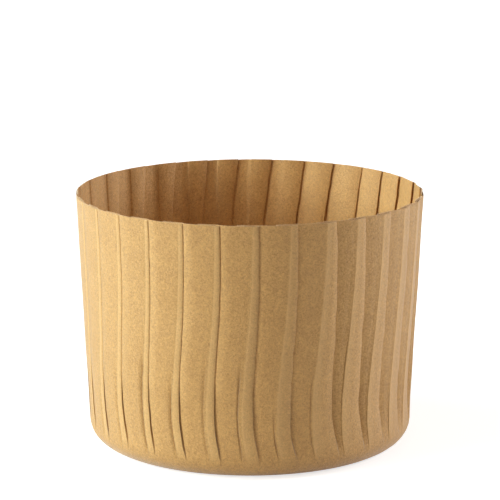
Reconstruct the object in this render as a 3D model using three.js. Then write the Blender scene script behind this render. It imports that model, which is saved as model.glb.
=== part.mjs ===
// A round panettone mold: one disc of kraft paper, pressed into a cup.
// The disc is too wide for the wall that it is drawn up into, so the surplus is laid in knife pleats.
// All lengths are millimetres and all angles degrees. +Z is up, and the front of the cup faces -Y.
import * as THREE from "three";

// Driving sizes of the cup
const HEIGHT = 50.8;
const RIM_RADIUS = 35; // outside, over the pleats
const FOOT_RADIUS = 32.5; // outside, where the wall's line would reach the table
const CORNER_RADIUS = 4.3;
const PAPER = 0.12; // thickness of one layer
const LAYER_GAP = 0.04; // air between two layers of a fold

// Pleats
const PLEATS = 30;
const FIRST_RIDGE = 1.2; // angle of the first ridge, from the front towards +X
const RIDGE_BOW = 2; // how far a ridge swings to the left on its way down
const BOW_SHAPE = 2.3; // puts the widest swing low on the wall
const GATHER = 2.6; // how far the ridges crowd together on the cup's right side
const GATHER_FROM = -10;
const TUCK_SLACK = 0.9; // surplus that the crimp takes before a tuck forms
const SMALLEST_TUCK = 0.3;
const TUCK_START = 7; // height of the lowest section that shows a tuck
const FLAT_BELOW = 4; // below this height the wall is smooth
const FOLDED_ABOVE = 21; // above this height a tuck lies flat on itself
const FULL_HUMP_ABOVE = 14;
const DISH = 0.08; // hollow of the panel where it bends
const RIM_STEP = 0.2; // how far the cut edge dips towards each ridge
const CLEAR_RUN = 0.25; // straight stretch beside a fold, before the panel climbs
const OVER_SHARES = [0.3, 0.7]; // where a panel may pass over its own pleat's hidden layers

// A pleat's flank and hump, and the share of the panel at which it has climbed from under the last
// pleat, on the tightly pressed side and on the loose side of the cup
const TIGHT = { flankLow: 1.1, flankRim: 0.6, humpLow: 0.03, humpRim: 0.03, bend: 0.1 };
const LOOSE = { flankLow: 5, flankRim: 2, humpLow: 0.44, humpRim: 0.3, bend: 0.5 };
const LOOSE_SIDE = 100; // angle of the middle of the loose side
const LOOSE_CONTRAST = 3; // how sharply one side gives way to the other

// Fineness of the mesh
const WALL_ROWS = 7;
const CORNER_ROWS = 3;
const ROW_SPREAD = 1.15; // rows lie closer together low on the wall

// Paper
const KRAFT = new THREE.MeshStandardMaterial({ color: 0xc79c65, roughness: 0.86, metalness: 0 });

// The outside of the cup in section
const WALL_LEAN = Math.atan2(RIM_RADIUS - FOOT_RADIUS, HEIGHT);
const CORNER_X =
  FOOT_RADIUS + CORNER_RADIUS * Math.tan(WALL_LEAN) - CORNER_RADIUS / Math.cos(WALL_LEAN);
const CORNER_TOP = CORNER_RADIUS * (1 - Math.sin(WALL_LEAN));
const CORNER_LENGTH = CORNER_RADIUS * (Math.PI / 2 - WALL_LEAN);
const FOLD_RADIUS = (PAPER + LAYER_GAP) / 2; // to the middle of the paper

const { clamp, degToRad, lerp, smoothstep } = THREE.MathUtils;
const share = (value, low, high) => clamp((value - low) / (high - low), 0, 1);

// A place on the outside of the smooth wall, with the direction that faces out of it.
function wallAt(z) {
  const radius = FOOT_RADIUS + z * Math.tan(WALL_LEAN);
  return { radius, z, out: [Math.cos(WALL_LEAN), -Math.sin(WALL_LEAN)] };
}

// A place on the rounded base corner: 0 is the edge of the flat base, 1 the foot of the wall.
function cornerAt(part) {
  const turn = part * (Math.PI / 2 - WALL_LEAN);
  const out = [Math.sin(turn), -Math.cos(turn)];
  const radius = CORNER_X + CORNER_RADIUS * out[0];
  return { radius, z: CORNER_RADIUS * (1 + out[1]), out };
}

// Depth of the tuck at a height. A ring of the flat disc is longer than the ring of wall that it
// becomes, and each pleat hides its share of the difference in two layers.
function tuckAt(z) {
  const alongSheet = CORNER_X + CORNER_LENGTH + (z - CORNER_TOP) / Math.cos(WALL_LEAN);
  const surplus = (2 * Math.PI * (alongSheet - wallAt(z).radius)) / PLEATS;
  return Math.max(surplus / 2 - TUCK_SLACK, SMALLEST_TUCK);
}

// Angle of a pleat's ridge at the rim
function ridgeAngle(pleat) {
  const even = FIRST_RIDGE + (pleat * 360) / PLEATS;
  return even - GATHER * (1 - Math.cos(degToRad(even - GATHER_FROM)));
}

// How far a ridge stands to the right of its place at the rim. It is below zero: the ridge bows left.
function bowAt(z) {
  return -RIDGE_BOW * Math.sin(Math.PI * (1 - z / HEIGHT) ** BOW_SHAPE);
}

// 0 where the pleats were pressed shut, 1 where they stand open
function looseness(angle) {
  const side = Math.cos(degToRad(angle - LOOSE_SIDE));
  return (1 + Math.tanh(LOOSE_CONTRAST * side)) / 2;
}

// Shape of one pleat at a height
function pleatAt(pleat, z) {
  const angle = ridgeAngle(pleat);
  const loose = looseness(angle);
  const up = share(z, FLAT_BELOW, HEIGHT);
  const between = (low, rim) =>
    lerp(lerp(TIGHT[low], TIGHT[rim], up), lerp(LOOSE[low], LOOSE[rim], up), loose);
  const ridge = degToRad(angle) * wallAt(z).radius + bowAt(z);
  const hump = between("humpLow", "humpRim") * smoothstep(z, FLAT_BELOW, FULL_HUMP_ABOVE);
  const flank = between("flankLow", "flankRim");
  const turn = Math.PI * Math.sin((Math.PI / 2) * share(z, FLAT_BELOW, FOLDED_ABOVE));
  const bend = lerp(TIGHT.bend, LOOSE.bend, loose);
  return { ridge, flank, hump, turn, bend, tuck: tuckAt(z) };
}

// The fold of one pleat as points [along the ring, out of the wall] on the middle of the paper:
// the ridge, the turn back under the flank, the hidden layer, the turn forward again, and the end of
// the straight stretch from which the next panel climbs.
function foldPoints({ ridge, flank, hump, turn, bend, tuck }) {
  const crest = -PAPER / 2;
  const base = crest - hump;
  const start = -Math.min(Math.atan2(hump, flank), turn);
  const nose = [ridge + flank, base];
  const under = [
    nose[0] + FOLD_RADIUS * (Math.sin(turn) + Math.sin(start)),
    nose[1] - FOLD_RADIUS * (Math.cos(start) - Math.cos(turn)),
  ];
  const inner = [under[0] + tuck * Math.cos(turn), under[1] - tuck * Math.sin(turn)];
  const forward = [
    inner[0] + FOLD_RADIUS * Math.sin(turn),
    inner[1] - FOLD_RADIUS * (1 - Math.cos(turn)),
  ];
  const foot = [Math.max(nose[0] + FOLD_RADIUS, forward[0]) + CLEAR_RUN, forward[1]];
  return { ridge: [ridge, crest], nose, under, inner, forward, foot, base, bend };
}

// Where the panel bends, having climbed from under the last pleat, and where it passes over the hidden
// layers of its own. A tight panel climbs at once and then runs level, a loose one climbs all the way.
function panelPoints(foot, fold) {
  const ridge = fold.ridge[0];
  const clear = fold.inner[0] - FOLD_RADIUS - CLEAR_RUN;
  const bend = Math.min(lerp(foot[0], ridge, fold.bend), clear);
  const [soonest, latest] = OVER_SHARES.map((part) => lerp(bend, ridge, part));
  const held = fold.inner[0] < ridge ? fold.base : -Infinity;
  return [bend, clamp(clear, soonest, latest)].map((along) => {
    const climbed = share(along, foot[0], ridge) ** fold.bend;
    return [along, Math.max(lerp(foot[1], fold.ridge[1], climbed) - DISH, held)];
  });
}

// The whole ring at a height, on the middle of the paper. Each pleat gives eight points.
function pleatedRing(z) {
  const around = 2 * Math.PI * wallAt(z).radius;
  const folds = Array.from({ length: PLEATS }, (_, k) => foldPoints(pleatAt(k, z)));
  return folds.flatMap((fold, k) => {
    const last = folds.at(k - 1).foot;
    const foot = k === 0 ? [last[0] - around, last[1]] : last;
    const { ridge, nose, under, inner, forward } = fold;
    return [...panelPoints(foot, fold), ridge, nose, under, inner, forward, fold.foot];
  });
}
const PLAIN_OF = [0, 1, 2, 3, 3, 3, 3, 3]; // under each of those points, one on the smooth corner
const PLEAT_POINTS = PLAIN_OF.length;
const PLAIN_POINTS = Math.max(...PLAIN_OF) + 1; // two on the panel, the ridge and the fold

// One face of the paper: the ring moved sideways, mitred at its corners.
function offsetRing(ring, around, distance) {
  const count = ring.length;
  const at = (i) => {
    const turns = Math.floor(i / count);
    const [u, d] = ring[i - turns * count];
    return [u + turns * around, d];
  };
  const facing = (a, b) => {
    const length = Math.hypot(b[0] - a[0], b[1] - a[1]);
    return [-(b[1] - a[1]) / length, (b[0] - a[0]) / length];
  };
  return ring.map((point, i) => {
    const before = facing(at(i - 1), point);
    const after = facing(point, at(i + 1));
    const miter = 1 + before[0] * after[0] + before[1] * after[1];
    return [0, 1].map((axis) => point[axis] + (distance * (before[axis] + after[axis])) / miter);
  });
}

// A point of a ring in space
function inSpace(place, [along, outward]) {
  const angle = along / place.radius;
  const radius = place.radius + outward * place.out[0];
  const z = place.z + outward * place.out[1];
  return [radius * Math.sin(angle), -radius * Math.cos(angle), z];
}

// The cut edge dips towards each ridge and steps up again at the fold.
const DIP_SHARES = [0.3, 0.6, 1, 1, 0.7, 0.3, 0, 0]; // at each point of a pleat
function dippedEdge(points) {
  return points.map(([x, y, z], i) => [x, y, z - RIM_STEP * DIP_SHARES[i % PLEAT_POINTS]]);
}

// Rings of one face of the paper, from the rim down to the edge of the flat base
function faceRings(side) {
  const rings = [];
  for (let row = WALL_ROWS; row >= 0; row -= 1) {
    const z = lerp(TUCK_START, HEIGHT, (row / WALL_ROWS) ** ROW_SPREAD);
    const place = wallAt(z);
    const ring = offsetRing(pleatedRing(z), 2 * Math.PI * place.radius, (side * PAPER) / 2);
    const points = ring.map((point) => inSpace(place, point));
    rings.push(row === WALL_ROWS ? dippedEdge(points) : points);
  }
  const low = wallAt(TUCK_START);
  const columns = pleatedRing(TUCK_START).filter((_, i) => i % PLEAT_POINTS < PLAIN_POINTS);
  for (let row = CORNER_ROWS; row >= 0; row -= 1) {
    const place = cornerAt(row / CORNER_ROWS);
    const outward = ((side - 1) * PAPER) / 2;
    const ring = columns.map(([along]) => [(along * place.radius) / low.radius, outward]);
    rings.push(ring.map((point) => inSpace(place, point)));
  }
  return rings;
}

// Triangles between two rings. below[i] is the point of the lower ring under point i of the upper one.
function bandTriangles(upper, lower, below) {
  const triangles = [];
  for (let i = 0; i < upper.count; i += 1) {
    const next = (i + 1) % upper.count;
    const [a, b] = [upper.first + i, upper.first + next];
    const [c, d] = [lower.first + below(i), lower.first + below(next)];
    triangles.push([a, c, b]);
    if (c !== d) triangles.push([c, d, b]);
  }
  return triangles;
}

// One face of the paper as points and triangles that look away from the cup's inside
function faceSkin(side) {
  const rings = faceRings(side);
  const points = [];
  const spans = rings.map((ring) => {
    points.push(...ring);
    return { first: points.length - ring.length, count: ring.length };
  });
  const underFold = (i) => Math.floor(i / PLEAT_POINTS) * PLAIN_POINTS + PLAIN_OF[i % PLEAT_POINTS];
  const triangles = spans.slice(1).flatMap((lower, row) => {
    const upper = spans[row];
    return bandTriangles(upper, lower, upper.count === lower.count ? (i) => i : underFold);
  });
  const middle = points.push([0, 0, ((1 - side) * PAPER) / 2]) - 1;
  const edge = spans.at(-1);
  for (let i = 0; i < edge.count; i += 1) {
    triangles.push([edge.first + i, middle, edge.first + ((i + 1) % edge.count)]);
  }
  return { points, triangles, rim: spans[0] };
}

// The cup: the paper's outer face, its inner face turned over, and the cut edge between them
function paperCup() {
  const outer = faceSkin(1);
  const inner = faceSkin(-1);
  const offset = outer.points.length;
  const triangles = [...outer.triangles];
  for (const [a, b, c] of inner.triangles) triangles.push([a + offset, c + offset, b + offset]);
  for (let i = 0; i < outer.rim.count; i += 1) {
    const next = (i + 1) % outer.rim.count;
    triangles.push([i, next, offset + next], [i, offset + next, offset + i]);
  }
  const geometry = new THREE.BufferGeometry();
  const positions = [...outer.points, ...inner.points].flat();
  geometry.setAttribute("position", new THREE.Float32BufferAttribute(positions, 3));
  geometry.setIndex(triangles.flat());
  geometry.computeVertexNormals();
  return geometry;
}

const mold = new THREE.Group();
const paperMold = new THREE.Mesh(paperCup(), KRAFT);
paperMold.name = "paper_mold";
mold.add(paperMold);

export default mold;
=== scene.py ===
"""A small panettone mold of pleated kraft paper, standing empty on a pale studio floor."""

import logging
import math
from dataclasses import dataclass, field
from enum import Enum

import bpy
from mathutils import Matrix, Vector


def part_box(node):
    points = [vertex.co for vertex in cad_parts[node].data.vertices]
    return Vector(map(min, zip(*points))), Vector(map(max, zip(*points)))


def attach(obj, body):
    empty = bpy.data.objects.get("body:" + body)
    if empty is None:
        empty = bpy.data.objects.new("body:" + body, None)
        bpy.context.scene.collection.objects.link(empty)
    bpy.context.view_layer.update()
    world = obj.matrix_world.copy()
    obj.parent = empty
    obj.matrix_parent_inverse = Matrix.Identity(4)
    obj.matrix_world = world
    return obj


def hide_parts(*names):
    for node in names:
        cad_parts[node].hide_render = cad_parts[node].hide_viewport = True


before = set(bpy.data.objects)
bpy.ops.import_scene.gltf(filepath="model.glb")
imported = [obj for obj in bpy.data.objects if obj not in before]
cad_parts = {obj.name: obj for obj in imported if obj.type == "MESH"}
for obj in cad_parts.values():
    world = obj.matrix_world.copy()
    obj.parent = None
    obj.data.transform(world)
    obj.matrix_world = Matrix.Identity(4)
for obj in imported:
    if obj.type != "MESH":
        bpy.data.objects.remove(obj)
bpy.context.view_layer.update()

LOG = logging.getLogger("mold")
MM = 0.001
MOLD_NODE = "paper_mold"
BLACK = (0.0, 0.0, 0.0, 1.0)
WHITE = (1.0, 1.0, 1.0, 1.0)
NOISE_MEAN = 0.5


class Luck(Enum):
    """What differs by chance from one pleat to the next, with its place in the seed."""

    PLACE = 1
    FLANK = 2
    BOW = 3
    HUMP = 4
    CREASE_PLACE = 5
    CREASE_TOP = 6
    CREASE_DEPTH = 7
    CRACK = 8


class Surface(Enum):
    """Material slots of the mold's mesh."""

    SHEET = 0
    CUT_EDGE = 1


class Line(Enum):
    """Fold lines that wander, each with its own place in the chance pattern."""

    RIDGE = 0.0
    FLANK = 50.0
    CREASE = 90.0


class Step(Enum):
    """Points of one pleat's section, in the order in which the sheet runs through them."""

    CLIMB_FIRST = 0
    CLIMB_MIDDLE = 1
    CLIMB_LAST = 2
    SHOULDER = 3
    PANEL = 4
    OVER_TUCK = 5
    CREASE_NEAR = 6
    CREASE = 7
    CREASE_FAR = 8
    RISE = 9
    RIDGE_SIDE = 10
    RIDGE = 11
    FLANK_TOP = 12
    FLANK = 13
    NOSE = 14
    BEND_FIRST = 15
    BEND_LAST = 16
    UNDER = 17
    TUCK = 18
    INNER = 19
    TURN_FIRST = 20
    TURN_LAST = 21
    FORWARD = 22
    FOOT = 23


STEPS = len(Step)


class Field:
    """A node's output that Python's operators turn into further nodes."""

    def __init__(self, net: "Net", socket: bpy.types.NodeSocket) -> None:
        """Wrap a socket.

        Args:
            net: the tree that the socket belongs to.
            socket: the output to calculate with.
        """
        self.net = net
        self.socket = socket

    def __add__(self, other: "Field | float") -> "Field":
        """Sum."""
        return self.net.math("ADD", self, other)

    __radd__ = __add__

    def __sub__(self, other: "Field | float") -> "Field":
        """Difference."""
        return self.net.math("SUBTRACT", self, other)

    def __rsub__(self, other: float) -> "Field":
        """Difference from a number."""
        return self.net.math("SUBTRACT", other, self)

    def __mul__(self, other: "Field | float") -> "Field":
        """Product."""
        return self.net.math("MULTIPLY", self, other)

    __rmul__ = __mul__

    def __truediv__(self, other: "Field | float") -> "Field":
        """Quotient."""
        return self.net.math("DIVIDE", self, other)

    def __rtruediv__(self, other: float) -> "Field":
        """Quotient of a number and this."""
        return self.net.math("DIVIDE", other, self)

    def __pow__(self, other: "Field | float") -> "Field":
        """Power."""
        return self.net.math("POWER", self, other)

    def __neg__(self) -> "Field":
        """Opposite."""
        return self.net.math("MULTIPLY", self, -1.0)


Number = Field | float


class Net:
    """A shader or geometry node tree under construction."""

    def __init__(self, tree: bpy.types.NodeTree) -> None:
        """Start on a tree.

        Args:
            tree: the tree that gets the nodes.
        """
        self.tree = tree

    def node(self, kind: str, settings: dict | None = None, values: dict | None = None,
             output: str | int | None = None) -> Field:
        """Add a node.

        Args:
            kind: Blender's name of the node type.
            settings: properties, set before the sockets.
            values: numbers, vectors or Fields, by the socket's name or index.
            output: name or index of the wanted output, or None for the first one in use.

        Returns:
            The wanted output.
        """
        made = self.tree.nodes.new(kind)
        for name, value in (settings or {}).items():
            setattr(made, name, value)
        for name, value in (values or {}).items():
            self.feed(self.socket_of(made.inputs, name), value)
        return Field(self, self.socket_of(made.outputs, output))

    @staticmethod
    def socket_of(sockets: bpy.types.bpy_prop_collection,
                  name: str | int | None) -> bpy.types.NodeSocket:
        """Find a socket in use by its name or index.

        Args:
            sockets: a node's inputs or outputs.
            name: name or index, or None for the first one in use.

        Returns:
            The socket.
        """
        if isinstance(name, int):
            return sockets[name]
        used = [s for s in sockets if s.enabled and not s.is_unavailable]
        return used[0] if name is None else next(s for s in used if s.name == name)

    def feed(self, socket: bpy.types.NodeSocket, value: "Number | tuple") -> None:
        """Link or set an input.

        Args:
            socket: the input.
            value: a Field to link, or a plain value.
        """
        if isinstance(value, Field):
            self.tree.links.new(value.socket, socket)
        else:
            socket.default_value = value

    def math(self, operation: str, *terms: Number) -> Field:
        """Add a Math node.

        Args:
            operation: Blender's name of the operation.
            terms: its operands.

        Returns:
            The result.
        """
        return self.node("ShaderNodeMath", {"operation": operation}, dict(enumerate(terms)))

    def clamp(self, value: Number) -> Field:
        """Hold a value between 0 and 1."""
        return self.node("ShaderNodeClamp", values={"Value": value})

    def lerp(self, low: Number, high: Number, share: Number) -> Number:
        """Go from low to high by a share."""
        return low + (high - low) * share

    def ramp(self, value: Number, low: Number, high: Number, smooth: bool = True) -> Field:
        """Rise from 0 to 1 while a value goes from low to high.

        Args:
            value: what is looked at.
            low: where the rise starts.
            high: where it ends.
            smooth: whether it eases in and out.

        Returns:
            The share, held between 0 and 1.
        """
        easing = "SMOOTHSTEP" if smooth else "LINEAR"
        return self.node("ShaderNodeMapRange", {"interpolation_type": easing},
                         {"Value": value, "From Min": low, "From Max": high})

    def vector(self, x: Number, y: Number, z: Number) -> Field:
        """Join three numbers."""
        return self.node("ShaderNodeCombineXYZ", values={"X": x, "Y": y, "Z": z})

    def parts(self, vector: Field) -> tuple[Field, Field, Field]:
        """Split a vector.

        Args:
            vector: what is split.

        Returns:
            Its x, y and z.
        """
        x = self.node("ShaderNodeSeparateXYZ", values={"Vector": vector})
        outputs = x.socket.node.outputs
        return tuple(Field(self, outputs[i]) for i in range(3))

    def stretch(self, vector: Field, scale: tuple[float, float, float]) -> Field:
        """Scale a vector by three numbers."""
        return self.node("ShaderNodeVectorMath", {"operation": "MULTIPLY"}, {0: vector, 1: scale})

    def noise(self, vector: Field, scale: float, detail: float = 2.0, roughness: float = 0.5,
              distortion: float = 0.0) -> Field:
        """Smooth chance between 0 and 1.

        Args:
            vector: where the noise is read.
            scale: bumps for each unit of length.
            detail: octaves.
            roughness: weight of the finer octaves.
            distortion: how far the bumps are pulled about.

        Returns:
            The noise.
        """
        return self.node("ShaderNodeTexNoise", {"noise_dimensions": "3D"},
                         {"Vector": vector, "Scale": scale, "Detail": detail,
                          "Roughness": roughness, "Distortion": distortion})

    def blend(self, low: "Field | tuple", high: "Field | tuple", share: Number) -> Field:
        """Mix two colours.

        Args:
            low: colour at share 0.
            high: colour at share 1.
            share: how much of the second.

        Returns:
            The colour.
        """
        return self.node("ShaderNodeMix", {"data_type": "RGBA"},
                         {"Factor": share, "A": low, "B": high})


@dataclass
class Spot:
    """A point of the sheet's section: along the ring, and out of the wall."""

    along: Number
    out: Number

    def towards(self, other: "Spot", share: Number) -> "Spot":
        """Find the point that lies a share of the way to another one.

        Args:
            other: the far point.
            share: how far to go.

        Returns:
            The point between them.
        """
        along = self.along + (other.along - self.along) * share
        return Spot(along, self.out + (other.out - self.out) * share)

    def moved(self, along: Number, out: Number) -> "Spot":
        """Move by a distance along the ring and one out of the wall."""
        return Spot(self.along + along, self.out + out)


def linear(colour: tuple[float, float, float]) -> tuple[float, float, float, float]:
    """Turn a screen colour of 0 to 255 into the linear colour that a shader takes.

    Args:
        colour: red, green and blue.

    Returns:
        Linear red, green, blue and full opacity.
    """
    shares = [c / 255 for c in colour]
    return (*(s / 12.92 if s <= 0.04045 else ((s + 0.055) / 1.055) ** 2.4 for s in shares), 1.0)


@dataclass(frozen=True)
class KraftFinish:
    """Uncoated brown kraft paper, matte, with pulp and fibres, pale worn ridges that are partly a
    painted highlight, and painted shade in the folds and creases.

    Colours are screen values of 0 to 255. Sizes and depths are millimetres.
    """

    pale: tuple[float, float, float] = (223, 171, 98)
    deep: tuple[float, float, float] = (179, 128, 62)
    fleck: tuple[float, float, float] = (156, 110, 62)
    # Pale colour of worn ridges and fold noses, partly a painted highlight.
    worn_and_lit: tuple[float, float, float] = (246, 199, 130)
    # Painted shade for the folds and creases.
    shaded: tuple[float, float, float] = (104, 66, 30)
    roughness: float = 0.54
    roughness_spread: float = 0.2
    gloss: float = 0.65
    sheen: float = 0.3
    sheen_roughness: float = 0.45
    mottle_size: float = 3.0
    mottle_share: float = 0.35
    pulp_size: float = 0.8
    pulp_share: float = 0.5
    pulp_octaves: float = 4.0
    pulp_grit: float = 0.6
    fibre_size: float = 0.36
    fibre_share: float = 2.6
    fibre_depth: float = 0.13
    fibre_octaves: float = 3.0
    fibre_grit: float = 0.7
    fibre_pull: float = 0.8
    fleck_size: float = 0.45
    fleck_share: float = 0.3
    fleck_range: tuple[float, float] = (0.66, 0.76)
    crimp_size: float = 0.9
    crimp_length: float = 6.0
    crimp_depth: float = 0.05
    crimp_pull: float = 0.3
    # Shares of the worn colour, partly a painted highlight, and of the painted shade.
    wear_and_highlight_share: float = 0.45
    shade_share: float = 0.62

    def material(self) -> bpy.types.Material:
        """Build the shader.

        Returns:
            The paper's material.
        """
        paper = bpy.data.materials.new("kraft paper")
        paper.use_nodes = True
        net = Net(paper.node_tree)
        shader = paper.node_tree.nodes["Principled BSDF"]
        in_mm = net.stretch(net.node("ShaderNodeTexCoord", output="Object"), (1 / MM,) * 3)
        pulp = net.noise(in_mm, 1 / self.pulp_size, self.pulp_octaves, self.pulp_grit)
        fibre = net.noise(in_mm, 1 / self.fibre_size, self.fibre_octaves, self.fibre_grit,
                          self.fibre_pull)
        net.feed(shader.inputs["Base Color"], self.colour(net, in_mm, pulp, fibre))
        roughness = self.roughness + (pulp - NOISE_MEAN) * self.roughness_spread
        net.feed(shader.inputs["Roughness"], roughness)
        shader.inputs["Specular IOR Level"].default_value = self.gloss
        shader.inputs["Sheen Weight"].default_value = self.sheen
        shader.inputs["Sheen Roughness"].default_value = self.sheen_roughness
        relief = self.relief(net, in_mm, fibre)
        bump = net.node("ShaderNodeBump",
                        values={"Strength": 1.0, "Distance": MM, "Height": relief})
        net.feed(shader.inputs["Normal"], bump)
        return paper

    def colour(self, net: Net, in_mm: Field, pulp: Field, fibre: Field) -> Field:
        """Mix the paper's colour.

        Args:
            net: the shader tree.
            in_mm: the place in millimetres.
            pulp: the coarse chance pattern.
            fibre: the fine one.

        Returns:
            The colour.
        """
        mottle = net.noise(in_mm, 1 / self.mottle_size)
        tone = net.clamp(0.5 + (mottle - NOISE_MEAN) * self.mottle_share
                         + (pulp - NOISE_MEAN) * self.pulp_share
                         + (fibre - NOISE_MEAN) * self.fibre_share)
        colour = net.blend(linear(self.deep), linear(self.pale), tone)
        flecks = net.ramp(net.noise(in_mm, 1 / self.fleck_size), *self.fleck_range)
        colour = net.blend(colour, linear(self.fleck), flecks * self.fleck_share)
        # Pale wear along the ridges, partly a painted highlight, then painted shade in the folds
        # and creases.
        wear_and_highlight = net.node("ShaderNodeAttribute", {"attribute_name": "wear_and_highlight"}, output="Fac")
        shade = net.node("ShaderNodeAttribute", {"attribute_name": "shade"}, output="Fac")
        colour = net.blend(colour, linear(self.worn_and_lit), wear_and_highlight * self.wear_and_highlight_share)
        return net.blend(colour, linear(self.shaded), net.clamp(shade) * self.shade_share)

    def relief(self, net: Net, in_mm: Field, fibre: Field) -> Field:
        """Work out the fine relief of fibres and long soft crimps.

        Args:
            net: the shader tree.
            in_mm: the place in millimetres.
            fibre: the fine chance pattern.

        Returns:
            The height in millimetres.
        """
        upright = net.stretch(in_mm, (1.0, 1.0, 1 / self.crimp_length))
        crimp = net.noise(upright, 1 / self.crimp_size, distortion=self.crimp_pull)
        return fibre * self.fibre_depth + crimp * self.crimp_depth


@dataclass(frozen=True)
class EdgeFinish:
    """The cut edge of the sheet, where the paler fibres inside the paper show; its pale colour is
    partly a painted highlight where the rim catches light from above.
    """

    # Pale, partly the cut fibres' own colour and partly a painted highlight on the rim.
    colour: tuple[float, float, float] = (250, 218, 178)
    shade: float = 0.86
    roughness: float = 0.9
    fibres_per_mm: float = 3.0
    fibre_octaves: float = 3.0
    fibre_grit: float = 0.6

    def material(self) -> bpy.types.Material:
        """Build the shader.

        Returns:
            The cut edge's material.
        """
        edge = bpy.data.materials.new("cut paper edge")
        edge.use_nodes = True
        net = Net(edge.node_tree)
        shader = edge.node_tree.nodes["Principled BSDF"]
        in_mm = net.stretch(net.node("ShaderNodeTexCoord", output="Object"), (1 / MM,) * 3)
        fibre = net.noise(in_mm, self.fibres_per_mm, self.fibre_octaves, self.fibre_grit)
        dark = tuple(c * self.shade for c in self.colour)
        net.feed(shader.inputs["Base Color"], net.blend(linear(dark), linear(self.colour), fibre))
        shader.inputs["Roughness"].default_value = self.roughness
        return edge


@dataclass
class PleatedMold:
    """The mold: one disc of paper drawn up into a cup, its surplus laid in knife pleats.

    Lengths are millimetres and angles degrees. The section rules are those of the solid. A pair
    holds the value low on the wall and at the rim, or that of the tight and of the loose side.
    A spread is the largest share by which chance changes a value.
    """

    height: float
    rim_radius: float
    foot_radius: float = 32.5
    corner_radius: float = 4.3
    paper: float = 0.09
    layer_gap: float = 0.015
    pleats: int = 30
    seed: int = 7

    # Where the ridges stand, and how they lean on their way up.
    first_ridge: float = 1.2
    place_spread: float = 0.3
    gather: float = 2.6
    gather_from: float = -10.0
    ridge_bow: float = 2.0
    bow_shape: float = 2.3
    bow_spread: float = 0.2

    # How the folds grow out of the smooth foot of the wall.
    flat_below: float = 2.5
    grooved_above: float = 6.0
    full_hump_above: float = 14.0
    folded_above: float = 21.0
    tuck_slack: float = 0.9
    smallest_tuck: float = 0.3

    # How open the folds are on the tight and on the loose side. From the first to the second
    # angle of the wide side, the folds grow wider at the rim by up to the gain.
    loose_side: float = 100.0
    loose_contrast: float = 3.0
    clear_run: tuple[float, float] = (0.0, 0.2)
    tight_flank: tuple[float, float] = (1.1, 0.6)
    loose_flank: tuple[float, float] = (5.1, 2.0)
    widest_flank: float = 5.15
    flank_easing: float = 0.5
    flank_spread: float = 0.14
    wide_side: tuple[float, float] = (38.0, 76.0)
    wide_gain: float = 2.2
    tight_hump: tuple[float, float] = (0.03, 0.03)
    loose_hump: tuple[float, float] = (0.44, 0.3)
    hump_spread: float = 0.25

    # The panel between two folds. A bend is the share of its width that climbs.
    tight_bend: float = 0.05
    loose_bend: float = 0.5
    pressed_bend: float = 0.027
    over_shares: tuple[float, float] = (0.3, 0.7)
    dish: float = 0.08

    # The ridge, and the fine crease beside it. Margins and room count in crease widths.
    ridge_width: float = 0.14
    ridge_share: float = 1.25
    ridge_drop: float = 0.12
    flank_points: tuple[float, float] = (0.18, 0.55)
    crease_width: float = 0.11
    crease_room: float = 6.0
    crease_margins: tuple[float, float] = (2.0, 3.0)
    crease_depth: float = 0.13
    crease_offset: tuple[float, float] = (0.45, 1.6)
    crease_offset_spread: float = 0.4
    crease_top: float = 22.0
    crease_top_spread: float = 9.0
    crease_strength: float = 0.8
    crease_strength_spread: float = 0.5

    # Worn ridges with their painted highlight, and painted shade along the fold lines and creases,
    # as shares of the finish's own worn colour and painted shade.
    crack_top: float = 20.0
    crack_fade: float = 8.0
    crack_shade_strength: float = 0.75
    crack_shade_spread: float = 0.3
    crack_shade_at_foot: float = 0.3
    crease_shade: float = 0.8
    ridge_side_wear_and_highlight: float = 0.3
    flank_wear_and_highlight: tuple[float, float] = (0.4, 0.9)
    bead_highlight: float = 0.7

    # How the lines wander and the wall ripples.
    waver: float = 0.28
    waver_apart: float = 7.3
    waver_rate: float = 0.2
    waver_grit: float = 0.6
    ripple: float = 0.22
    ripple_rate: float = 0.11
    full_ripple_above: float = 20.0

    # The cut rim. The dips lower each step of a pleat by a share of the rim step.
    rim_step: float = 0.2
    rim_reach: float = 4.0
    rim_band: float = 1.0
    facing_up: float = 0.5
    rim_dips: tuple[float, ...] = (0.3, 0.3, 0.3, 0.3, 0.45, 0.6, 0.7, 0.75, 0.8, 0.9, 1.0, 1.0,
                                   1.0, 1.0, 1.0, 0.9, 0.8, 0.7, 0.5, 0.3, 0.2, 0.1, 0.0, 0.0)

    # The grid that is folded. The weld is in metres.
    weld: float = 1e-7
    base_rows: int = 5
    corner_rows: int = 8
    wall_rows: int = 46
    sharp_from: float = 70.0
    kraft: KraftFinish = field(default_factory=KraftFinish)
    edge: EdgeFinish = field(default_factory=EdgeFinish)

    def build(self) -> bpy.types.Object:
        """Make the mold's mesh and dress it.

        Returns:
            The finished piece.
        """
        holder = bpy.data.objects.new("pleated_paper_mold", bpy.data.meshes.new("flat_sheet"))
        bpy.context.collection.objects.link(holder)
        paper = self.kraft.material()
        tree = self.sheet_tree()
        folding = holder.modifiers.new("fold the sheet", "NODES")
        folding.node_group = tree
        sizes = {"Height": self.height, "Rim Radius": self.rim_radius,
                 "Foot Radius": self.foot_radius, "Corner Radius": self.corner_radius,
                 "Paper": self.paper, "Layer Gap": self.layer_gap, "Pleats": self.pleats,
                 "Seed": self.seed, "Material": paper}
        for item in tree.interface.items_tree:
            if item.in_out == "INPUT" and item.name in sizes:
                folding[item.identifier] = sizes[item.name]
        self.thicken(holder)
        self.make_plain(holder)
        self.dress(holder.data, paper)
        return holder

    def thicken(self, holder: bpy.types.Object) -> None:
        """Give the folded sheet its thickness.

        Args:
            holder: the object that folds the sheet.
        """
        wall = holder.modifiers.new("thickness of the paper", "SOLIDIFY")
        wall.thickness = self.paper * MM
        wall.offset = 0.0
        wall.use_rim = True

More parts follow.
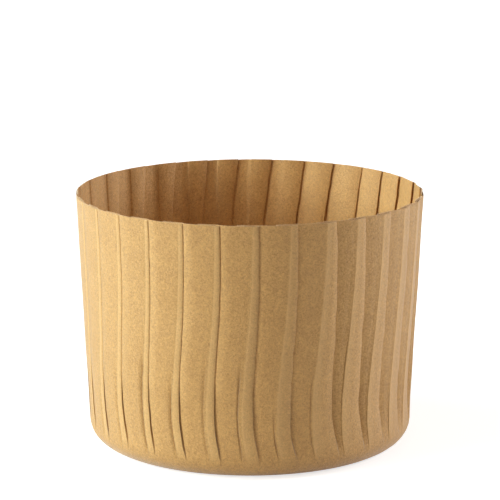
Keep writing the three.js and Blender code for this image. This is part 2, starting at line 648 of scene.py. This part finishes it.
    def make_plain(self, holder: bpy.types.Object) -> None:
        """Turn the modifiers' result into the object's own plain mesh.

        Args:
            holder: the object with the modifiers.
        """
        evaluated = holder.evaluated_get(bpy.context.evaluated_depsgraph_get())
        mesh = bpy.data.meshes.new_from_object(evaluated)
        holder.modifiers.clear()
        holder.data = mesh
        mesh.name = "pleated_paper_mold"
        mesh.set_sharp_from_angle(angle=math.radians(self.sharp_from))

    def dress(self, mesh: bpy.types.Mesh, paper: bpy.types.Material) -> None:
        """Give the cut edge along the rim its own finish, and the rest that of the sheet.

        Args:
            mesh: the finished mesh.
            paper: the sheet's material.
        """
        mesh.materials.clear()
        mesh.materials.append(paper)
        mesh.materials.append(self.edge.material())
        rim_level = (self.height - self.rim_band) * MM
        for face in mesh.polygons:
            cut = face.normal.z > self.facing_up and face.center.z > rim_level
            face.material_index = (Surface.CUT_EDGE if cut else Surface.SHEET).value

    def sheet_tree(self) -> bpy.types.NodeTree:
        """Build the tree that folds a flat grid into the pleated cup.

        Returns:
            The geometry node tree.
        """
        tree = bpy.data.node_groups.new("folded sheet", "GeometryNodeTree")
        tree.interface.new_socket("Geometry", in_out="INPUT", socket_type="NodeSocketGeometry")
        for name in ("Height", "Rim Radius", "Foot Radius", "Corner Radius", "Paper", "Layer Gap"):
            tree.interface.new_socket(name, in_out="INPUT", socket_type="NodeSocketFloat")
        for name in ("Pleats", "Seed"):
            tree.interface.new_socket(name, in_out="INPUT", socket_type="NodeSocketInt")
        tree.interface.new_socket("Material", in_out="INPUT", socket_type="NodeSocketMaterial")
        tree.interface.new_socket("Geometry", in_out="OUTPUT", socket_type="NodeSocketGeometry")
        FoldedSheet(self, Net(tree)).finish()
        return tree


class FoldedSheet:
    """The fields that carry each point of a flat grid to its place on the pleated cup."""

    def __init__(self, mold: PleatedMold, net: Net) -> None:
        """Read the tree's inputs and place the grid's rows and columns.

        Args:
            mold: the sizes that have no input of their own.
            net: the tree.
        """
        self.mold = mold
        self.net = net
        given = net.tree.nodes.new("NodeGroupInput")
        self.given = {s.name: Field(net, s) for s in given.outputs if s.name}
        self.lean = net.math("ARCTAN2", self.given["Rim Radius"] - self.given["Foot Radius"],
                             self.given["Height"])
        self.slope = net.math("TANGENT", self.lean)
        corner = self.given["Corner Radius"]
        self.corner_x = (self.given["Foot Radius"] + corner * self.slope
                         - corner / net.math("COSINE", self.lean))
        self.corner_top = corner * (1.0 - net.math("SINE", self.lean))
        self.fold_radius = (self.given["Paper"] + self.given["Layer Gap"]) / 2
        self.crest = self.given["Paper"] * -0.5
        self.place_grid()

    def place_grid(self) -> None:
        """Work out each point's pleat, step along it, and place on the smooth cup."""
        net, mold = self.net, self.mold
        across, up, _ = net.parts(net.node("GeometryNodeInputPosition"))
        column = net.math("ROUND", (across + 0.5) * self.given["Pleats"] * STEPS)
        rows = mold.base_rows + mold.corner_rows + mold.wall_rows
        row = net.math("ROUND", (up + 0.5) * rows)
        self.pleat = net.math("FLOOR", (column + 0.5) / STEPS)
        self.step = column - self.pleat * STEPS
        self.base_share = net.clamp(row / mold.base_rows)
        bend = net.clamp((row - mold.base_rows) / mold.corner_rows)
        wall = net.clamp((row - mold.base_rows - mold.corner_rows) / mold.wall_rows)
        turn = bend * (math.pi / 2 - self.lean)
        climb = wall * (self.given["Height"] - self.corner_top)
        self.out_r = net.math("SINE", turn)
        self.out_z = -net.math("COSINE", turn)
        corner = self.given["Corner Radius"]
        self.radius = (self.base_share * self.corner_x + corner * self.out_r
                       + climb * self.slope)
        self.level = corner * (1.0 + self.out_z) + climb
        self.section_level = net.math("MAXIMUM", self.level, self.corner_top)
        self.ring = self.given["Foot Radius"] + self.section_level * self.slope

    def luck(self, pleat: Number, kind: Luck) -> Field:
        """Draw a pleat's own chance value.

        Args:
            pleat: its number.
            kind: what it is for.

        Returns:
            A value from -1 to 1.
        """
        wrapped = self.net.math("FLOORED_MODULO", pleat, self.given["Pleats"])
        return self.net.node("FunctionNodeRandomValue", {"data_type": "FLOAT"},
                             {"Min": -1.0, "Max": 1.0, "ID": wrapped,
                              "Seed": self.given["Seed"] + float(kind.value)})

    def fold(self, pleat: Number) -> dict[str, Spot | Number]:
        """Shape one pleat's fold at the height of each point.

        Args:
            pleat: the pleat's number.

        Returns:
            The fold's points by name, with the turn, start, base and clear run that shape it,
            and the bend, dish and looseness of its panel.
        """
        net, mold = self.net, self.mold
        z, height = self.section_level, self.given["Height"]
        even = mold.first_ridge + pleat * 360.0 / self.given["Pleats"]
        shift = net.math("COSINE", (even - mold.gather_from) * math.radians(1))
        angle = (even - mold.gather * (1.0 - shift)
                 + self.luck(pleat, Luck.PLACE) * mold.place_spread)
        side = net.math("COSINE", (angle - mold.loose_side) * math.radians(1))
        loose = (1.0 + net.math("TANH", side * mold.loose_contrast)) / 2.0
        up = net.ramp(z, mold.flat_below, height, smooth=False)

        def between(tight: tuple[float, float], free: tuple[Number, Number]) -> Number:
            """Blend the tight and the loose side's value at this height."""
            return net.lerp(net.lerp(*tight, up), net.lerp(*free, up), loose)

        bow = net.math("SINE", math.pi * (1.0 - z / height) ** mold.bow_shape)
        bow_size = mold.ridge_bow * (1.0 + self.luck(pleat, Luck.BOW) * mold.bow_spread)
        ridge = (angle * math.radians(1) * self.ring - bow * bow_size
                 + self.waver(pleat, Line.RIDGE))
        rise = net.ramp(z, mold.flat_below, mold.full_hump_above)
        hump = between(mold.tight_hump, mold.loose_hump) * rise
        hump = hump * (1.0 + self.luck(pleat, Luck.HUMP) * mold.hump_spread)
        reach = [math.sin(math.radians(a)) for a in mold.wide_side]
        wide = net.ramp(net.math("SINE", angle * math.radians(1)), *reach)
        rim_flank = mold.loose_flank[1] + wide * mold.wide_gain
        flank = between(mold.tight_flank, (mold.loose_flank[0], rim_flank))
        flank = flank * (1.0 + self.luck(pleat, Luck.FLANK) * mold.flank_spread
                         + self.waver(pleat, Line.FLANK))
        flank = net.math("SMOOTH_MIN", flank, mold.widest_flank, mold.flank_easing)
        turn = math.pi * net.math(
            "SINE", math.pi / 2 * net.ramp(z, mold.flat_below, mold.folded_above, smooth=False))
        along = (self.corner_x + self.given["Corner Radius"] * (math.pi / 2 - self.lean)
                 + (z - self.corner_top) / net.math("COSINE", self.lean))
        surplus = 2 * math.pi * (along - self.ring) / self.given["Pleats"]
        tuck = net.math("MAXIMUM", surplus / 2.0 - mold.tuck_slack, mold.smallest_tuck)
        clear_run = net.lerp(*mold.clear_run, loose)
        fold = self.fold_spots(ridge, flank, hump, turn, tuck, clear_run)
        pressed = (1.0 - loose) * net.ramp(z, mold.crack_top - mold.crack_fade, mold.crack_top)
        bend = net.lerp(mold.tight_bend, mold.loose_bend, loose)
        fold["bend"] = net.lerp(bend, mold.pressed_bend, pressed)
        fold["dish"] = mold.dish * (1.0 - pressed)
        fold["loose"] = loose
        return fold

    def waver(self, pleat: Number, line: Line) -> Number:
        """Let a fold line wander a little on its way down.

        Args:
            pleat: the pleat's number.
            line: which of its lines wanders.

        Returns:
            The shift, about as large either way as half the waver.
        """
        net, mold = self.net, self.mold
        wrapped = net.math("FLOORED_MODULO", pleat, self.given["Pleats"])
        place = net.vector(wrapped * mold.waver_apart + line.value,
                           self.section_level * mold.waver_rate, line.value)
        return (net.noise(place, 1.0, roughness=mold.waver_grit) - NOISE_MEAN) * mold.waver

    def fold_spots(self, ridge: Number, flank: Number, hump: Number, turn: Number,
                   tuck: Number, clear_run: Number) -> dict[str, Spot | Number]:
        """Follow the sheet through one fold.

        Args:
            ridge: place of the ridge along the ring.
            flank: width from the ridge to the fold.
            hump: height of the ridge over the fold.
            turn: angle that the sheet turns back by.
            tuck: width of the hidden layer.
            clear_run: straight stretch beside the fold, before the next panel climbs.

        Returns:
            The fold's points by name, with the turn, start, base and clear run.
        """
        net, radius = self.net, self.fold_radius
        base = self.crest - hump
        start = net.math("MINIMUM", net.math("ARCTAN2", hump, flank), turn)
        nose = Spot(ridge + flank, base)
        under = self.on_first_bend(nose, start, turn)
        inner = under.moved(tuck * net.math("COSINE", turn), -(tuck * net.math("SINE", turn)))
        forward = self.on_second_bend(inner, turn, 0.0)
        end = net.math("MAXIMUM", nose.along + radius, forward.along) + clear_run
        return {"ridge": Spot(ridge, self.crest), "nose": nose, "under": under, "inner": inner,
                "forward": forward, "foot": Spot(end, forward.out), "turn": turn,
                "start": start, "base": base, "clear_run": clear_run}

    def on_first_bend(self, nose: Spot, start: Number, angle: Number) -> Spot:
        """Find a point on the bend that turns the sheet back under the flank.

        Args:
            nose: where the bend begins.
            start: heading at its beginning, below level.
            angle: heading at the wanted point, below level.

        Returns:
            The point.
        """
        net, radius = self.net, self.fold_radius
        along = radius * (net.math("SINE", angle) - net.math("SINE", start))
        return nose.moved(along, radius * (net.math("COSINE", angle) - net.math("COSINE", start)))

    def on_second_bend(self, inner: Spot, turn: Number, angle: Number) -> Spot:
        """Find a point on the bend that turns the hidden layer forward again.

        Args:
            inner: where the bend begins.
            turn: heading at its beginning, below level.
            angle: heading at the wanted point, below level.

        Returns:
            The point.
        """
        net, radius = self.net, self.fold_radius
        along = radius * (net.math("SINE", turn) - net.math("SINE", angle))
        return inner.moved(along, radius * (net.math("COSINE", turn) - net.math("COSINE", angle)))

    def panel_spots(self, foot: Spot, fold: dict[str, Spot | Number]) -> tuple[Spot, Spot]:
        """Find where the panel bends, and where it passes over its own pleat's hidden layers.

        Args:
            foot: where the panel starts to climb.
            fold: its own pleat.

        Returns:
            The two points, both clear of the hidden layers.
        """
        net, mold = self.net, self.mold
        ridge, inner, share = fold["ridge"], fold["inner"], fold["bend"]
        clear = inner.along - self.fold_radius - fold["clear_run"]
        bend = net.math("MINIMUM", net.lerp(foot.along, ridge.along, share), clear)
        soonest, latest = (net.lerp(bend, ridge.along, part) for part in mold.over_shares)
        over = net.math("MINIMUM", net.math("MAXIMUM", clear, soonest), latest)
        over_fold = net.math("LESS_THAN", inner.along, ridge.along)

        def spot(along: Number) -> Spot:
            """Put a point on the panel, no lower than the layers that it covers.

            Args:
                along: its place along the ring.

            Returns:
                The point.
            """
            climbed = net.ramp(along, foot.along, ridge.along, smooth=False) ** share
            level = net.lerp(foot.out, ridge.out, climbed) - fold["dish"]
            held = net.math("MAXIMUM", level, fold["base"])
            return Spot(along, net.lerp(level, held, over_fold))

        return spot(bend), spot(over)

    def path(self) -> list[Spot]:
        """Follow the sheet across one pleat.

        Returns:
            The points of the section, one for each Step in its order.
        """
        net, mold = self.net, self.mold
        before = self.fold(self.pleat - 1.0)
        own = self.fold(self.pleat)
        foot, ridge, nose = before["foot"], own["ridge"], own["nose"]
        shoulder, over = self.panel_spots(foot, own)
        offset = net.lerp(*mold.crease_offset, own["loose"])
        offset = offset * (1.0 + self.luck(self.pleat, Luck.CREASE_PLACE)
                           * mold.crease_offset_spread)
        room = ridge.along - over.along
        width = net.math("MINIMUM", mold.crease_width, room / mold.crease_room)
        near, far = mold.crease_margins
        crease_along = net.math("MAXIMUM",
                                ridge.along - offset + self.waver(self.pleat, Line.CREASE),
                                over.along + near * width)
        crease_along = net.math("MINIMUM", crease_along, ridge.along - far * width)
        crease_place = (crease_along - over.along) / room
        ridge_width = net.math("MINIMUM", mold.ridge_width, mold.ridge_share * width)
        crease = over.towards(ridge, crease_place)
        depth = self.creased() * mold.crease_depth
        thirds = (1 / 3, 2 / 3)
        start, turn = own["start"], own["turn"]
        first_bend = [self.on_first_bend(nose, start, net.lerp(start, turn, s)) for s in thirds]
        second_bend = [self.on_second_bend(own["inner"], turn, turn * (1 - s)) for s in thirds]
        return [
            *(foot.towards(shoulder, share) for share in (0.25, 0.5, 0.75)),
            shoulder, shoulder.towards(over, 0.5), over,
            crease.moved(-width, 0.0),
            crease.moved(0.0, -depth),
            crease.moved(width, 0.0),
            over.towards(ridge, (crease_place + 1.0) * 0.5),
            ridge.moved(-ridge_width, ridge_width * -mold.ridge_drop), ridge,
            *(ridge.towards(nose, share) for share in mold.flank_points), nose,
            *first_bend, own["under"], own["under"].towards(own["inner"], 0.5), own["inner"],
            *second_bend, own["forward"], own["foot"],
        ]

    def creased(self) -> Field:
        """Work out how marked the fine crease beside a ridge is at this height.

        Returns:
            A share that fades out upwards and towards the base.
        """
        net, mold = self.net, self.mold
        top = mold.crease_top + self.luck(self.pleat, Luck.CREASE_TOP) * mold.crease_top_spread
        fading = net.ramp(self.level, mold.flat_below, mold.grooved_above)
        fading = fading * (1.0 - net.ramp(self.level, top - mold.crease_top_spread, top))
        return fading * (mold.crease_strength + self.luck(self.pleat, Luck.CREASE_DEPTH)
                         * mold.crease_strength_spread)

    def flattened(self, path: list[Spot]) -> list[Spot]:
        """Spread the points over the smooth foot of the wall, and let the folds rise above it.

        Args:
            path: the folded section.

        Returns:
            The section with its folds fading out downwards.
        """
        net, mold = self.net, self.mold
        flat = 1.0 - net.ramp(self.level, mold.flat_below, mold.grooved_above)
        nose_step = Step.NOSE.value
        nose, foot = path[nose_step], path[-1]
        spread = []
        for step, spot in enumerate(path):
            even = spot
            if step > nose_step:
                even = nose.towards(foot, (step - nose_step) / (STEPS - 1 - nose_step))
            spread.append(spot.towards(Spot(even.along, self.crest), flat))
        return spread

    def chosen(self, values: list[Number] | tuple[float, ...], kind: str) -> Field:
        """Pick the value that belongs to a point's step.

        Args:
            values: one for each step.
            kind: Blender's name of their type.

        Returns:
            The value of this point.
        """
        made = self.net.tree.nodes.new("GeometryNodeIndexSwitch")
        made.data_type = kind
        while len(made.index_switch_items) < len(values):
            made.index_switch_items.new()
        self.net.feed(made.inputs[0], self.step)
        for socket, value in zip(made.inputs[1:], values):
            self.net.feed(socket, value)
        return Field(self.net, made.outputs[0])

    def marked(self, values: dict[Step, Number]) -> Field:
        """Pick the value that belongs to a point's step, or 0 where the step has none.

        Args:
            values: the values by step.

        Returns:
            The value of this point.
        """
        return self.chosen([values.get(step, 0.0) for step in Step], "FLOAT")

    def folded_position(self) -> Field:
        """Work out where each point of the grid goes.

        Returns:
            The position in metres.
        """
        net, mold = self.net, self.mold
        spots = self.flattened(self.path())
        places = [net.vector(spot.along, spot.out, 0.0) for spot in spots]
        along, out, _ = net.parts(self.chosen(places, "VECTOR"))
        even = (self.pleat + (self.step + 1.0) / STEPS) * 360.0 / self.given["Pleats"]
        angle = net.lerp(even * math.radians(1), along / self.ring, self.base_share)
        east, south = net.math("SINE", angle), -net.math("COSINE", angle)
        around = net.vector(east * mold.rim_radius, south * mold.rim_radius, self.level)
        ripple = net.noise(around, mold.ripple_rate) - NOISE_MEAN
        rippled = net.ramp(self.level, mold.flat_below, mold.full_ripple_above)
        out = out + ripple * mold.ripple * rippled
        radius = self.radius + out * self.out_r
        dip = self.chosen(mold.rim_dips, "FLOAT") * mold.rim_step
        near_rim = net.ramp(self.level, self.given["Height"] - mold.rim_reach,
                            self.given["Height"])
        up = self.level + out * self.out_z - dip * near_rim
        return net.vector(radius * east * MM, radius * south * MM, up * MM)

    def wear_and_highlight(self) -> Field:
        """Work out how pale the sheet is painted along its ridges and fold noses, partly for wear
        and partly as a painted highlight.

        Returns:
            A share of the finish's own worn colour, which is partly a painted highlight.
        """
        net, mold = self.net, self.mold
        tight = 1.0 - self.fold(self.pleat)["loose"]
        rising = net.ramp(self.level, mold.flat_below, mold.grooved_above)
        # The pressed bead of a tight fold is painted pale as a highlight.
        lit_bead = rising * tight * mold.bead_highlight
        return self.marked({
            Step.RIDGE_SIDE: rising * mold.ridge_side_wear_and_highlight, Step.RIDGE: rising,
            Step.FLANK_TOP: rising * net.lerp(*mold.flank_wear_and_highlight, tight),
            Step.FLANK: lit_bead, Step.NOSE: lit_bead,
        })

    def shade(self) -> Field:
        """Work out the painted shade inside the folds and along the creases.

        Returns:
            A share of the finish's own painted shade colour.
        """
        net, mold = self.net, self.mold
        rising = net.ramp(self.level, mold.flat_below, mold.grooved_above)
        fading = net.ramp(self.level, mold.crack_top - mold.crack_fade, mold.crack_top)
        strength = mold.crack_shade_strength + (self.luck(self.pleat, Luck.CRACK)
                                          * mold.crack_shade_spread)
        # Painted shade in the hidden layers of each fold, fading out upwards, and beside the fine
        # crease.
        fold_shade = rising * strength * (1.0 - fading)
        shades = {step: fold_shade for step in Step
                  if Step.NOSE.value < step.value < Step.FOOT.value}
        shades[Step.FOOT] = fold_shade * mold.crack_shade_at_foot
        shades[Step.CREASE_FAR] = self.creased() * mold.crease_shade
        return self.marked(shades)

    def finish(self) -> None:
        """Make the grid, mark it, fold it, weld it and give it its material."""
        net, mold = self.net, self.mold
        rows = mold.base_rows + mold.corner_rows + mold.wall_rows
        columns = self.given["Pleats"] * float(STEPS) + 1.0
        grid = net.node("GeometryNodeMeshGrid",
                        values={"Size X": 1.0, "Size Y": 1.0, "Vertices X": columns,
                                "Vertices Y": rows + 1}, output="Mesh")
        marked = grid
        # The points carry the wear with its painted highlight, and the painted shade.
        for name, share in (("wear_and_highlight", self.wear_and_highlight()), ("shade", self.shade())):
            marked = net.node("GeometryNodeStoreNamedAttribute",
                              {"data_type": "FLOAT", "domain": "POINT"},
                              {"Geometry": marked, "Name": name, "Value": share})
        folded = net.node("GeometryNodeSetPosition",
                          values={"Geometry": marked, "Position": self.folded_position()})
        welded = net.node("GeometryNodeMergeByDistance",
                          values={"Geometry": folded, "Distance": mold.weld})
        smooth = net.node("GeometryNodeSetShadeSmooth", values={"Geometry": welded})
        real = net.node("GeometryNodeRealizeInstances", values={"Geometry": smooth})
        dressed = net.node("GeometryNodeSetMaterial",
                           values={"Geometry": real, "Material": self.given["Material"]})
        leaving = net.tree.nodes.new("NodeGroupOutput")
        net.tree.links.new(dressed.socket, leaving.inputs[0])


@dataclass(frozen=True)
class Viewpoint:
    """The camera: it looks at the middle of the cup, then is tilted up a little.

    The distance is in millimetres, the focal length in pixels of the frame, the sensor in
    millimetres and the nearest visible point in metres.
    """

    distance: float = 511.7
    elevation: float = 13.86
    tilt_up: float = 1.43
    focal_px: float = 2515.2
    frame_px: float = 500.0
    sensor: float = 36.0
    nearest: float = 0.01

    def place(self, height: float) -> bpy.types.Object:
        """Put the camera in the scene.

        Args:
            height: the cup's height in millimetres.

        Returns:
            The camera.
        """
        data = bpy.data.cameras.new("camera")
        data.sensor_width = self.sensor
        data.lens = self.focal_px * self.sensor / self.frame_px
        data.clip_start = self.nearest
        camera = bpy.data.objects.new("camera", data)
        bpy.context.collection.objects.link(camera)
        e = math.radians(self.elevation)
        back = Vector((0.0, -math.cos(e), math.sin(e)))
        look = -e + math.radians(self.tilt_up)
        turn = Matrix.Rotation(math.pi / 2 + look, 4, "X")
        middle = Vector((0.0, 0.0, height / 2))
        camera.matrix_world = Matrix.Translation((middle + back * self.distance) * MM) @ turn
        bpy.context.scene.camera = camera
        return camera


@dataclass(frozen=True)
class Lamp:
    """A soft square studio lamp that faces the cup. Lengths are metres, and power watts."""

    name: str
    azimuth: float
    elevation: float
    distance: float
    size: float
    power: float
    colour: tuple[float, float, float] = (1.0, 1.0, 1.0)
    aim_height: float = 0.025

    def hang(self) -> None:
        """Put the lamp in the scene. Azimuth 0 is the front, and 90 the cup's right side."""
        data = bpy.data.lights.new(self.name, "AREA")
        data.shape = "SQUARE"
        data.size = self.size
        data.energy = self.power
        data.color = self.colour
        lamp = bpy.data.objects.new(self.name, data)
        bpy.context.collection.objects.link(lamp)
        a, e = math.radians(self.azimuth), math.radians(self.elevation)
        aside = Vector((math.sin(a) * math.cos(e), -math.cos(a) * math.cos(e), math.sin(e)))
        lamp.location = aside * self.distance + Vector((0.0, 0.0, self.aim_height))
        lamp.rotation_euler = aside.to_track_quat("Z", "Y").to_euler()


@dataclass(frozen=True)
class Studio:
    """A plain pale floor under soft lamps, white where only the camera looks."""

    floor_size: float = 6.0
    floor_colour: tuple[float, float, float] = (205, 205, 205)
    floor_lift: float = 0.70
    white_floor: tuple[float, float] = (0.25, 0.7)
    ambient: tuple[float, float, float] = (0.180, 0.145, 0.138)
    lamps: tuple[Lamp, ...] = (
        Lamp("key lamp", -64.0, 20.0, 0.9, 0.42, 4.1, (0.95, 1.0, 1.0)),
        Lamp("left lamp", -84.0, 20.0, 0.9, 0.42, 4.7, (0.79, 1.0, 0.92)),
        Lamp("left rim lamp", -100.0, 20.0, 0.9, 0.42, 2.9, (0.79, 0.97, 1.0)),
        Lamp("right rim lamp", 103.0, 20.0, 0.9, 0.42, 5.6, (0.95, 1.0, 1.0)),
        Lamp("top lamp", -20.0, 72.0, 1.2, 0.6, 1.2),
    )

    def set_up(self) -> None:
        """Make the floor, the lamps and the world."""
        self.lay_floor()
        for lamp in self.lamps:
            lamp.hang()
        self.light_world()
        bpy.context.scene.view_settings.view_transform = "Standard"

    def seen_share(self, net: Net) -> Field:
        """Find where only the camera looks, directly or in gloss or glass.

        Args:
            net: the shader tree.

        Returns:
            1 on such rays.
        """
        path = net.node("ShaderNodeLightPath", output="Is Camera Ray").socket.node
        camera, glossy, through = (Field(net, path.outputs[name]) for name in
                                   ("Is Camera Ray", "Is Glossy Ray", "Is Transmission Ray"))
        return net.clamp(camera + glossy + through)

    def lay_floor(self) -> None:
        """Make the floor, which shows the cup's soft shadow."""
        half = self.floor_size / 2
        mesh = bpy.data.meshes.new("floor")
        corners = [(-half, -half, 0.0), (half, -half, 0.0), (half, half, 0.0), (-half, half, 0.0)]
        mesh.from_pydata(corners, [], [(0, 1, 2, 3)])
        floor = bpy.data.objects.new("floor", mesh)
        bpy.context.collection.objects.link(floor)
        pale = bpy.data.materials.new("pale floor")
        pale.use_nodes = True
        net = Net(pale.node_tree)
        shader = pale.node_tree.nodes["Principled BSDF"]
        shader.inputs["Base Color"].default_value = linear(self.floor_colour)
        shader.inputs["Roughness"].default_value = 1.0
        shader.inputs["Specular IOR Level"].default_value = 0.0
        place = net.node("ShaderNodeTexCoord", output="Object")
        away = net.node("ShaderNodeVectorMath", {"operation": "LENGTH"}, {0: place}, "Value")
        lift = net.blend((*(self.floor_lift,) * 3, 1.0), WHITE, net.ramp(away, *self.white_floor))
        net.feed(shader.inputs["Emission Color"], net.blend(BLACK, lift, self.seen_share(net)))
        shader.inputs["Emission Strength"].default_value = 1.0
        mesh.materials.append(pale)

    def light_world(self) -> None:
        """Fill the shade with an even light, and show white behind the cup."""
        world = bpy.data.worlds.new("studio")
        world.use_nodes = True
        bpy.context.scene.world = world
        net = Net(world.node_tree)
        background = world.node_tree.nodes["Background"]
        dim = (*self.ambient, 1.0)
        net.feed(background.inputs["Color"], net.blend(dim, WHITE, self.seen_share(net)))
        background.inputs["Strength"].default_value = 1.0


def main() -> None:
    """Build the mold and the studio."""
    logging.basicConfig(level=logging.INFO)
    low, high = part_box(MOLD_NODE)
    height, rim_radius = (high.z - low.z) / MM, (high.x - low.x) / 2 / MM
    mold = PleatedMold(height=height, rim_radius=rim_radius)
    piece = mold.build()
    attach(piece, "root")
    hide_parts(MOLD_NODE)
    LOG.info("%s: %d faces", piece.name, len(piece.data.polygons))
    Studio().set_up()
    Viewpoint().place(height)


if __name__ == "__main__":
    main()
